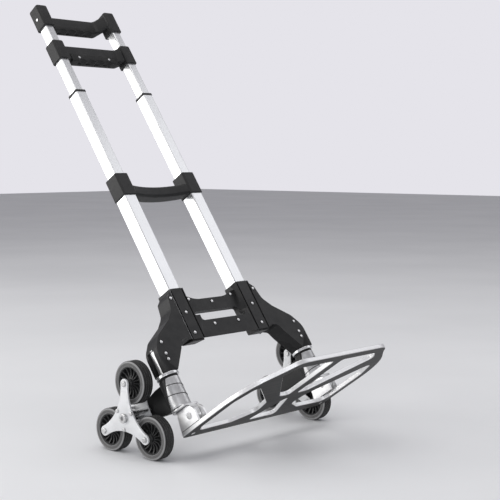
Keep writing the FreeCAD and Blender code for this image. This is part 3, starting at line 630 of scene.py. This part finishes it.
SPOKE_COUNT = 15
SPOKE_SPAN = (7.2, 27.9)
SPOKE_HALF_WIDTH = 9.8
SPOKE_HALF_THICK = 0.9
SPOKE_HOLLOW = 3.4
SPOKE_SWEEP = 1.1
HUB_OUTLINE = [(4.2, -13.6), (6.4, -13.6), (7.4, -12.4), (7.8, -2.0), (7.8, 2.0), (7.4, 12.4),
               (6.4, 13.6), (4.2, 13.6)]
BARREL_OUTLINE = [(30.4, -11.0), (30.4, 11.0), (28.6, 11.0), (27.6, 9.4), (27.2, 2.0), (27.2, -2.0),
                  (27.6, -9.4), (28.6, -11.0)]
DISH_OUTLINE = [(7.6, -1.6), (27.4, -1.6), (27.4, 1.6), (7.6, 1.6)]


def add_spoke(bm, turn_deg):
    """Curved fin between hub and barrel, hollowed in the middle of its length."""
    steps = 10
    turn = Matrix.Rotation(math.radians(turn_deg), 3, "X")
    rings = []
    for k in range(steps + 1):
        share = k / steps
        radius = SPOKE_SPAN[0] + (SPOKE_SPAN[1] - SPOKE_SPAN[0]) * share
        height = SPOKE_HALF_WIDTH - SPOKE_HOLLOW * math.sin(math.pi * share) - 1.0 * (1 - share)
        thick = SPOKE_HALF_THICK + 0.5 * (2 * share - 1) ** 2
        sweep = SPOKE_SWEEP * math.sin(math.pi * share)
        corners = [(-height, sweep - thick), (height, sweep - thick), (height, sweep + thick),
                   (-height, sweep + thick)]
        rings.append([bm.verts.new(turn @ (Vector((x, y, radius)) * MM)) for x, y in corners])
    for low, high in zip(rings, rings[1:]):
        for k in range(4):
            bm.faces.new([low[k], low[(k + 1) % 4], high[(k + 1) % 4], high[k]])
    bm.faces.new(rings[0])
    bm.faces.new(rings[-1])


def make_rim(name, side):
    node = f"rim_{name}_{side}"
    bm = bmesh.new()
    for outline in (HUB_OUTLINE, BARREL_OUTLINE, DISH_OUTLINE):
        lathe(bm, outline, Vector(), ACROSS, 96)
    for k in range(SPOKE_COUNT):
        add_spoke(bm, k * 360 / SPOKE_COUNT)
    piece = bpy.data.objects.new(f"{node}_spoked", finished_mesh(node, bm))
    place_wheel_piece(piece, wheel_centre(name, side), node)


# ---- springs ----
LEG_X, LEG_Y = 196.0, -89.0
SLEEVE_FOOT, SLEEVE_LENGTH = -33.5, 58.5
SLEEVE_TAPER = 0.7
COIL_R = 19.9
WIRE_R = 0.9


def make_spring(side, s):
    """Torsion spring of two turns wound round the tapered sleeve, with its two ends closed."""
    node = f"swing_spring_{side}"
    bm = bmesh.new()
    foot, top, turns, steps, around = -22.0, 18.0, 2, 72, 12
    rings = []
    for k in range(turns * steps + 1):
        share = k / (turns * steps)
        z = foot + (top - foot) * share
        radius = COIL_R - (z - SLEEVE_FOOT) / SLEEVE_LENGTH * SLEEVE_TAPER
        angle = math.radians(90) + 2 * math.pi * turns * share * s
        outward = Vector((math.cos(angle), math.sin(angle), 0))
        middle = Vector((s * LEG_X, LEG_Y, z)) + outward * radius
        ring = []
        for n in range(around):
            bend = 2 * math.pi * n / around
            lift = Vector((0, 0, WIRE_R * math.sin(bend)))
            ring.append(bm.verts.new(at(*(middle + outward * (WIRE_R * math.cos(bend)) + lift))))
        rings.append(ring)
    for low, high in zip(rings, rings[1:]):
        for n in range(around):
            after = (n + 1) % around
            bm.faces.new([low[n], low[after], high[after], high[n]])
    bm.faces.new(rings[0])
    bm.faces.new(rings[-1])
    name = f"torsion_spring_{side}"
    keep_piece(name, finished_mesh(name, bm, 60), slot_of_node(node), body_of_node(node), [node])


# ---- rivets ----
RIVET_R, RIVET_HEIGHT, RIVET_FLANGE = 3.3, 1.5, 0.35
SEAT_R, SEAT_BEAD = 4.5, 0.55


def rivet_outline():
    """Domed rivet head standing on a thin flange, closed underneath."""
    dome = [(RIVET_R * math.cos(a), RIVET_FLANGE + (RIVET_HEIGHT - RIVET_FLANGE) * math.sin(a))
            for a in [math.radians(90 * k / 7) for k in range(7)]]
    return [(0, -0.3), (RIVET_R, -0.3), (RIVET_R, RIVET_FLANGE * 0.4)] + dome + [(0, RIVET_HEIGHT)]


def make_rivets():
    """Rivet heads in the body, and the moulded ring round each of them."""
    node = "body_rivets"
    heads, seats = bmesh.new(), bmesh.new()
    bead = arc_points((SEAT_R, 0.1), SEAT_BEAD, -20, 200, 8)
    for centre, points in islands(node):
        reach = max((p - centre).dot(-BACK) for p in points)
        face = centre - BACK * (reach - RIVET_HEIGHT * MM)
        lathe(heads, rivet_outline(), face, -BACK, 32)
        lathe(seats, bead, face, -BACK, 36)
    keep_piece("body_rivet_heads", finished_mesh("body_rivet_heads", heads, 50), slot_of_node(node),
               body_of_node(node), [node])
    keep_piece("body_rivet_seats", finished_mesh("body_rivet_seats", seats, 60), "body_plastic", "frame")


# ---- the whole ----
ROUNDED = {
    "body_front_shell": 1.4, "body_back_shell": 1.4, "mid_bracket": 1.0, "top_grip": 1.0,
    "release_grip": 1.0, "top_finger_pad": 1.6, "release_finger_pad": 1.6, "tube_end_caps": 0.9,
    "toe_hinge_ears": 0.5,
}
ROUNDED_PAIRS = {
    "hinge_casting": 1.0, "axle_block": 1.6, "star_plate_outer": 0.6, "star_plate_inner": 0.6,
    "star_hub": 0.6, "swing_sleeve": 0.8, "leg_tube": 0.5,
}


def finish_cad_nodes():
    """The record's slot gives each CAD node that stays its material."""
    for node, obj in frame["nodes"].items():
        obj.data.materials.clear()
        obj.data.materials.append(materials[slot_of_node(node)])


make_camera()
make_studio()
node_slots = {part["node"]: part["material_slot"] for part in frame["record"]["subparts"]}
materials = make_materials()
finish_cad_nodes()
for node, width in ROUNDED.items():
    rounded_piece(node, width * MM, f"{node}_rounded")
for node, width in ROUNDED_PAIRS.items():
    for side in SIDES:
        rounded_piece(f"{node}_{side}", width * MM, f"{node}_{side}_rounded")
for side, s in SIDES.items():
    make_spring(side, s)
    for name in WHEELS:
        make_tyre(name, side)
        make_rim(name, side)
make_rivets()
make_floor()
